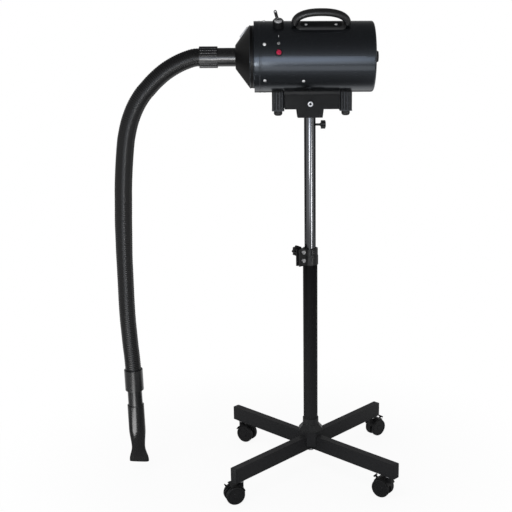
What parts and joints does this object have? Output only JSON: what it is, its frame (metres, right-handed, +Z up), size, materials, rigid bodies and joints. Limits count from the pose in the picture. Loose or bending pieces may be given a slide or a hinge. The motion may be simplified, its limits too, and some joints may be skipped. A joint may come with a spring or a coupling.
{
  "type": "pet dryer",
  "caption": "Stand-mounted pet dryer: a tilting drum blower with a flexible hose and flat nozzle on a telescopic pole and a rolling cross base.",
  "frame": {"origin": "on the floor, on the pole's axis", "axes": "+Z up along the pole, the blower's axis along X with its outlet towards -X, its switch and handle towards -Y"},
  "size_m": [0.7518, 0.4573, 1.2517],
  "materials": {
    "powder_black": "satin powder coat",
    "housing_black": "satin charcoal enamel",
    "moulded_black": "black moulded plastic",
    "duct_black": "glossy black moulded plastic",
    "guide_black": "plain nylon",
    "wheel_black": "hard nylon wheel",
    "pole_chrome": "polished chrome plate",
    "switch_chrome": "polished chrome plate",
    "zinc_steel": "bright zinc plate",
    "rubber_black": "matt rubber",
    "hose_black": "finely ribbed flexible plastic",
    "reset_red": "crimson moulded plastic",
    "filter_foam": "open-cell foam",
    "motor_metal": "plain cast and pressed metal"
  },
  "bodies": {
    "stand": {"arm_front_left": "powder_black", "arm_front_right": "powder_black", "arm_back_right": "powder_black", "arm_back_left": "powder_black", "arm_end_caps": "moulded_black", "hub_block": "moulded_black", "hub_cover": "moulded_black", "column_tube": "powder_black", "column_plug": "zinc_steel", "base_bolt": "zinc_steel", "column_bush": "guide_black", "height_clamp": "moulded_black", "clamp_bolt": "zinc_steel", "castor_stems": "zinc_steel"},
    "clamp_handle": {"clamp_knob": "moulded_black", "clamp_screw": "zinc_steel"},
    "pole": {"inner_pole": "pole_chrome", "pole_glide": "guide_black"},
    "pole_screw": {"thumb_screw": "moulded_black"},
    "swivel": {"pole_head": "powder_black", "tilt_bolt": "zinc_steel"},
    "head": {"head_bracket": "powder_black", "bracket_pad": "rubber_black", "housing_shell": "housing_black", "front_cap": "housing_black", "outlet_cone": "housing_black", "outlet_pipe": "duct_black", "rear_cap": "housing_black", "intake_filter": "filter_foam", "handle_grip": "moulded_black", "handle_base": "moulded_black", "case_screws": "zinc_steel", "control_collars": "moulded_black", "switch_body": "switch_chrome", "power_inlet": "moulded_black", "feet": "moulded_black", "foot_tips": "rubber_black", "motor_body": "motor_metal", "fan_shell": "motor_metal", "upper_cuff": "duct_black", "hose": "hose_black", "lower_cuff": "duct_black"},
    "toggle": {"switch_lever": "switch_chrome"},
    "reset": {"reset_button": "reset_red"},
    "filter_knob": {"rear_knob": "moulded_black"},
    "fan": {"blower_wheel": "motor_metal"},
    "nozzle_end": {"nozzle": "duct_black"},
    "castor_fl": {"castor_frame_fl": "moulded_black"},
    "wheels_fl": {"castor_wheels_fl": "wheel_black"},
    "brake_fl": {"castor_brake_fl": "moulded_black"},
    "castor_fr": {"castor_frame_fr": "moulded_black"},
    "wheels_fr": {"castor_wheels_fr": "wheel_black"},
    "brake_fr": {"castor_brake_fr": "moulded_black"},
    "castor_br": {"castor_frame_br": "moulded_black"},
    "wheels_br": {"castor_wheels_br": "wheel_black"},
    "brake_br": {"castor_brake_br": "moulded_black"},
    "castor_bl": {"castor_frame_bl": "moulded_black"},
    "wheels_bl": {"castor_wheels_bl": "wheel_black"},
    "brake_bl": {"castor_brake_bl": "moulded_black"}
  },
  "joints": [
    {"name": "castor_swivel_fl", "type": "hinge", "parent": "stand", "child": "castor_fl", "pos_m": [-0.19445, -0.19445, 0.05], "axis": [0, 0, 1], "continuous": true},
    {"name": "wheel_roll_fl", "type": "hinge", "parent": "castor_fl", "child": "wheels_fl", "pos_m": [-0.2111, -0.19986, 0.025], "axis": [0.309, -0.9511, 0], "continuous": true},
    {"name": "brake_press_fl", "type": "hinge", "parent": "castor_fl", "child": "brake_fl", "pos_m": [-0.22271, -0.20364, 0.03955], "axis": [0.309, -0.9511, 0], "range_deg": [0, 14]},
    {"name": "castor_swivel_fr", "type": "hinge", "parent": "stand", "child": "castor_fr", "pos_m": [0.19445, -0.19445, 0.05], "axis": [0, 0, 1], "continuous": true},
    {"name": "wheel_roll_fr", "type": "hinge", "parent": "castor_fr", "child": "wheels_fr", "pos_m": [0.1803, -0.18417, 0.025], "axis": [-0.5878, -0.809, 0], "continuous": true},
    {"name": "brake_press_fr", "type": "hinge", "parent": "castor_fr", "child": "brake_fr", "pos_m": [0.17042, -0.17699, 0.03955], "axis": [-0.5878, -0.809, 0], "range_deg": [0, 14]},
    {"name": "castor_swivel_br", "type": "hinge", "parent": "stand", "child": "castor_br", "pos_m": [0.19445, 0.19445, 0.05], "axis": [0, 0, 1], "continuous": true},
    {"name": "wheel_roll_br", "type": "hinge", "parent": "castor_br", "child": "wheels_br", "pos_m": [0.20824, 0.20523, 0.025], "axis": [-0.6157, 0.788, 0], "continuous": true},
    {"name": "brake_press_br", "type": "hinge", "parent": "castor_br", "child": "brake_br", "pos_m": [0.21787, 0.21275, 0.03955], "axis": [-0.6157, 0.788, 0], "range_deg": [0, 14]},
    {"name": "castor_swivel_bl", "type": "hinge", "parent": "stand", "child": "castor_bl", "pos_m": [-0.19445, 0.19445, 0.05], "axis": [0, 0, 1], "continuous": true},
    {"name": "wheel_roll_bl", "type": "hinge", "parent": "castor_bl", "child": "wheels_bl", "pos_m": [-0.17978, 0.18492, 0.025], "axis": [0.5446, 0.8387, 0], "continuous": true},
    {"name": "brake_press_bl", "type": "hinge", "parent": "castor_bl", "child": "brake_bl", "pos_m": [-0.16953, 0.17827, 0.03955], "axis": [0.5446, 0.8387, 0], "range_deg": [0, 14]},
    {"name": "clamp_knob_turn", "type": "hinge", "parent": "stand", "child": "clamp_handle", "pos_m": [-0.02528, -0.02121, 0.6265], "axis": [-0.6428, 0.766, 0], "range_deg": [0, 540]},
    {"name": "pole_slide", "type": "slide", "parent": "stand", "child": "pole", "axis": [0, 0, 1], "range_m": [-0.3, 0.1]},
    {"name": "thumb_screw_turn", "type": "hinge", "parent": "pole", "child": "pole_screw", "pos_m": [0.03, 0, 0.96], "axis": [1, 0, 0], "range_deg": [0, 540]},
    {"name": "head_swivel", "type": "hinge", "parent": "pole", "child": "swivel", "pos_m": [0, 0, 0.97], "axis": [0, 0, 1], "continuous": true},
    {"name": "head_tilt", "type": "hinge", "parent": "swivel", "child": "head", "pos_m": [0, 0, 1.015], "axis": [0, 1, 0], "range_deg": [-20, 20]},
    {"name": "switch_toggle", "type": "hinge", "parent": "head", "child": "toggle", "pos_m": [-0.0805, -0.0505, 1.21947], "axis": [0, 0.866, 0.5], "range_deg": [0, 30]},
    {"name": "reset_press", "type": "slide", "parent": "head", "child": "reset", "axis": [0, 0.9877, -0.1564], "range_m": [0, 0.002], "stiffness_N_per_m": 600, "springref_m": -0.001},
    {"name": "filter_knob_turn", "type": "hinge", "parent": "head", "child": "filter_knob", "pos_m": [0.17, 0, 1.132], "axis": [1, 0, 0], "range_deg": [0, 1080]},
    {"name": "fan_spin", "type": "hinge", "parent": "head", "child": "fan", "pos_m": [-0.04, 0, 1.132], "axis": [1, 0, 0], "continuous": true},
    {"name": "nozzle_turn", "type": "hinge", "parent": "head", "child": "nozzle_end", "pos_m": [-0.48178, 0, 0.23001], "axis": [0.0174, 0, -0.9998], "continuous": true}
  ]
}
